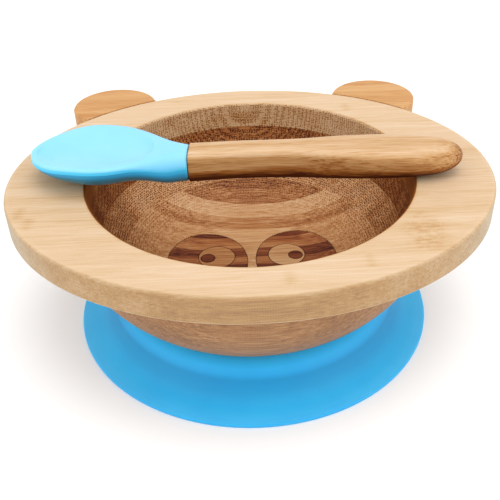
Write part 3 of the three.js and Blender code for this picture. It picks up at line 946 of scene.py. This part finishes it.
BANDS = {
    "rim": [(-80, 0.6)],
    "ear": [(-80, 0.55)],
    "upper": [(-80, 0.42), (-40, 0.34), (-12, 0.28), (14, 0.29), (27, 0.2), (40, 0.25)],
    "middle": [(-80, 0.42), (-40, 0.58), (-21, 0.54), (-9, 0.5), (3.2, 0.47), (14, 0.56)],
    "lower": [(-80, 0.42), (-40, 0.62), (-16, 0.55), (-3.6, 0.58), (8.8, 0.6), (21, 0.44), (23.8, 0.57),
              (27.5, 0.76), (33.5, 0.37)],
    "foot": [(-80, 0.5), (-16.4, 0.64), (-4, 0.74), (21, 0.5), (23.8, 0.57)],
    "patch": [(-80, 0.3), (-14, 0.5), (-6.5, 0.28), (-1.5, 0.55), (3.0, 0.3), (8.4, 0.66), (15.4, 0.27)],
    "pupil": [(-80, 0.25)],
    "left_eyeball": [(-80, 0.47)],
    "right_eyeball": [(-80, 0.73)],
    "spoon": [(-80, 0.62)],
}

# Painted light and shade on the base by the distance from the bowl's axis: lightest by the bowl, a painted
# shadow at the foot of the boss, paler out along the skirt, darker on the lip's edge.
BASE_PAINTED_LIGHT = [(42.4, "ffffff"), (45.0, "c4f6fa"), (48.0, "9ce8f0"), (49.2, "7cd4de"), (50.0, "54bac4"),
              (52.0, "62c6cd"), (56.0, "a6ecee"), (59.0, "defefe"), (61.0, "f4ffff"), (61.6, "9adce2")]
# Painted light and shade on the spoon's head by how far a face looks up: dark blue underneath, white on top.
HEAD_PAINTED_LIGHT = [(0.25, "52959c"), (0.42, "5ac6e0"), (0.5, "84f6ff"), (0.62, "deffff"), (0.85, "ffffff")]


def make_materials():
    """The materials by the name that the pieces use."""
    eyeball = {"fibre": 0.45, "dots": 0.15, "patches": 0.2, "strips": 0.1, "seam": 0.8}
    # The rim also gets painted shade on its front and back faces and inside at the opening's ends, a painted
    # lighter underside and a painted grey sheen on its outside.
    rim = bamboo(
        "rim_bamboo", LIGHT_BAMBOO, BANDS["rim"], 1, fibre=0.24, dots=0.1, patches=0.16, strips=0.07,
        strip_width=6.2, knuckles=0.1, side=0.34, pores=0.42, hollow=0.75,
        painted_sheen="a4a08e", painted_end_sheen=0.36, painted_outward_sheen=0.24, node=0.12,
    )
    # The boards also get painted shade inside at the opening's left and right ends, and a painted grey sheen
    # on their outside.
    body = {
        board: bamboo(
            f"{board}_bamboo", BODY_SHADES, BANDS[board], 3 + i, fibre=0.54, dots=0.12, pores=0.66,
            hollow=0.11, painted_sheen="837258", painted_outward_sheen=0.45, skew=0.055,
        )
        for i, board in enumerate(("upper", "middle", "lower", "foot"))
    }
    return {
        "rim": rim,
        "left_ear": bamboo(
            "left_ear_bamboo", EAR_SHADES, BANDS["ear"], 11, fibre=0.3, dots=0.25, patches=0.25,
        ),
        "right_ear": bamboo(
            "right_ear_bamboo", EAR_SHADES, BANDS["ear"], 13, fibre=0.26, dots=0.25, patches=0.2,
        ),
        **body,
        "patch": bamboo(
            "patch_bamboo", PATCH_SHADES, BANDS["patch"], 17, fibre=0.75, dots=0.1, patches=0.3,
            strips=0.2, strip_width=3.1, seam=0.8,
        ),
        "pupil": bamboo(
            "pupil_bamboo", PATCH_SHADES, BANDS["pupil"], 19, fibre=0.5, dots=0.1, patches=0.3,
            strips=0.1, strip_width=3.1, seam=0.8,
        ),
        "left_eyeball": bamboo(
            "left_eyeball_bamboo", BODY_SHADES, BANDS["left_eyeball"], 23, **eyeball,
        ),
        "right_eyeball": bamboo(
            "right_eyeball_bamboo", BODY_SHADES, BANDS["right_eyeball"], 25, **eyeball,
        ),
        # The handle's underside gets painted shade.
        "handle": bamboo(
            "handle_bamboo", SPOON_SHADES, BANDS["spoon"], 29, fibre=0.34, dots=0.26, patches=0.3,
            strips=0.1, strip_width=5.2, knuckles=0.12, under=0.45,
        ),
        "base": silicone("base_silicone", ("44baf8", "4cc2fc"), 1, painted_light_rings=BASE_PAINTED_LIGHT),
        "head": silicone("head_silicone", ("83c9f0", "8dcef1"), 2, facing=HEAD_PAINTED_LIGHT),
    }


# ---------------------------------------------------------------- pieces


def build_bowl(materials):
    """The wooden bowl: rim, ears and the stack of boards, with pockets for the inlays."""
    finish_piece(make_object("rim_board_fine", *rim_board()), "rim_board", "bowl", materials["rim"])
    for side, name in ((-1, "left"), (1, "right")):
        piece = make_object(f"{name}_ear_fine", *ear(side))
        finish_piece(piece, f"{name}_ear", "bowl", materials[f"{name}_ear"])
    for board, above in (("upper", "rim_board"), ("middle", "upper_bowl_board")):
        node = f"{board}_bowl_board"
        piece = make_object(f"{node}_fine", *board_ring(BOARD_LOW_Z[node], BOARD_LOW_Z[above]))
        finish_piece(piece, node, "bowl", materials[board])
    pockets = [pocket(PATCH, -1), pocket(PATCH, 1), pocket(NOSE)]
    lower = board_ring(BOARD_LOW_Z["lower_bowl_board"], BOARD_LOW_Z["middle_bowl_board"])
    for node, shape, finish in (("lower_bowl_board", lower, "lower"), ("foot_board", foot_board(), "foot")):
        piece = cut(make_object(f"{node}_fine", *shape), pockets)
        finish_piece(piece, node, "bowl", materials[finish])
    for cutter in pockets:
        bpy.data.objects.remove(cutter)


def build_face(materials):
    """The inlaid patches, eyeballs, pupils and nose."""
    for side, name in ((-1, "left"), (1, "right")):
        patch = make_object(f"{name}_eye_patch_fine", *inlay_ring(PATCH, EYEBALL, side))
        finish_piece(patch, f"{name}_eye_patch", "bowl", materials["patch"])
        eyeball = make_object(f"{name}_eyeball_fine", *inlay_ring(EYEBALL, PUPIL, side))
        finish_piece(eyeball, f"{name}_eyeball", "bowl", materials[f"{name}_eyeball"])
        pupil = make_object(f"{name}_pupil_fine", *inlay_disc(PUPIL, side))
        finish_piece(pupil, f"{name}_pupil", "bowl", materials["pupil"])
    finish_piece(make_object("nose_fine", *inlay_disc(NOSE)), "nose", "bowl", materials["pupil"])


def build_base(materials):
    """The silicone suction base."""
    piece = make_object("suction_base_fine", *suction_base())
    finish_piece(piece, "suction_base", "base", materials["base"])


def build_spoon(materials):
    """The spoon's handle and head."""
    handle = make_object("spoon_handle_fine", *spoon_handle(), place=spoon_place())
    finish_piece(handle, "spoon_handle", "spoon", materials["handle"])
    head = make_object("spoon_head_fine", *spoon_head(), place=spoon_place())
    count = len(head_section(0, 1, 0))
    keep_sharp(head.data, count, HEAD_LEDGE + tuple(count - point for point in HEAD_LEDGE))
    finish_piece(head, "spoon_head", "spoon", materials["head"])


# ---------------------------------------------------------------- stage


CAMERA_PITCH = 0.612
CAMERA_YAW = 0.020
CAMERA_ROLL = -0.030
CAMERA_DISTANCE = 252.6
CAMERA_TARGET = Vector((-0.62, 0.0, 21.98))
CAMERA_LENS = 51.59
CAMERA_SENSOR = 36.0
CAMERA_NEAR = 0.01

FLOOR_RADII = (200, 600, 1500, 3000)
FLOOR_STEPS = 64
SKY_STRENGTH = 1.02

# Each light's name, the side it shines from, its spread in degrees and its strength
LIGHTS = (
    ("key", (0.14, 0.0, 1.0), 40, 0.84),
    ("left_fill", (-0.85, -0.5, 0.45), 60, 0.7),
    ("right_fill", (0.85, -0.5, 0.45), 60, 0.78),
)


def add_camera():
    """The camera in front of the bowl, looking down on it."""
    data = bpy.data.cameras.new("camera")
    data.lens = CAMERA_LENS
    data.sensor_width = CAMERA_SENSOR
    data.clip_start = CAMERA_NEAR
    camera = bpy.data.objects.new("camera", data)
    bpy.context.scene.collection.objects.link(camera)
    level = math.cos(CAMERA_PITCH)
    down = math.sin(CAMERA_PITCH)
    forward = Vector((math.sin(CAMERA_YAW) * level, math.cos(CAMERA_YAW) * level, -down))
    right = Vector((math.cos(CAMERA_YAW), -math.sin(CAMERA_YAW), 0))
    up = right.cross(forward)
    c, s = math.cos(CAMERA_ROLL), math.sin(CAMERA_ROLL)
    across_view, up_view = c * right + s * up, c * up - s * right
    target = (CAMERA_TARGET + Vector((0, AXIS_Y, 0))) * MM
    spot = target - forward * CAMERA_DISTANCE * MM
    columns = Matrix((across_view, up_view, -forward)).transposed().to_4x4()
    camera.matrix_world = Matrix.Translation(spot) @ columns
    bpy.context.scene.camera = camera


def add_floor():
    """A plain pale floor. The skin's last face, which would double the floor, is left off."""
    g = Graph("floor")
    cloud = g.noise(g.place, (0.004, 0.004, 0.004), 2.0)
    g.feed(g.shader.inputs["Base Color"], g.ramp(cloud, [(0.3, "f2f2f2"), (0.7, "f4f4f4")]))
    g.feed(g.shader.inputs["Roughness"], g.spread(cloud, 0.3, 0.7, 0.7, 0.75))
    g.shader.inputs["Specular IOR Level"].default_value = 0.2
    directions = circle(FLOOR_STEPS)
    loops = [at_height(directions * radius, 0.0) for radius in FLOOR_RADII]
    points, faces = skin(loops)
    floor = make_object("floor", points, faces[:-1])
    floor.data.materials.append(g.material)


def add_light(name, spot, spread, strength):
    """A wide, soft, distant light that shines from a spot towards the bowl."""
    data = bpy.data.lights.new(name, "SUN")
    data.angle = math.radians(spread)
    data.energy = strength
    light = bpy.data.objects.new(name, data)
    light.location = spot
    light.rotation_euler = (-light.location).to_track_quat("-Z", "Y").to_euler()
    bpy.context.scene.collection.objects.link(light)


def add_studio():
    """Floor, sky and soft studio lights."""
    add_floor()
    world = bpy.data.worlds.new("studio")
    world.use_nodes = True
    sky = world.node_tree.nodes["Background"]
    sky.inputs["Color"].default_value = (1, 1, 1, 1)
    sky.inputs["Strength"].default_value = SKY_STRENGTH
    bpy.context.scene.world = world
    for light in LIGHTS:
        add_light(*light)
    bpy.context.scene.view_settings.view_transform = "Standard"


add_camera()
add_studio()
materials = make_materials()
build_bowl(materials)
build_face(materials)
build_base(materials)
build_spoon(materials)
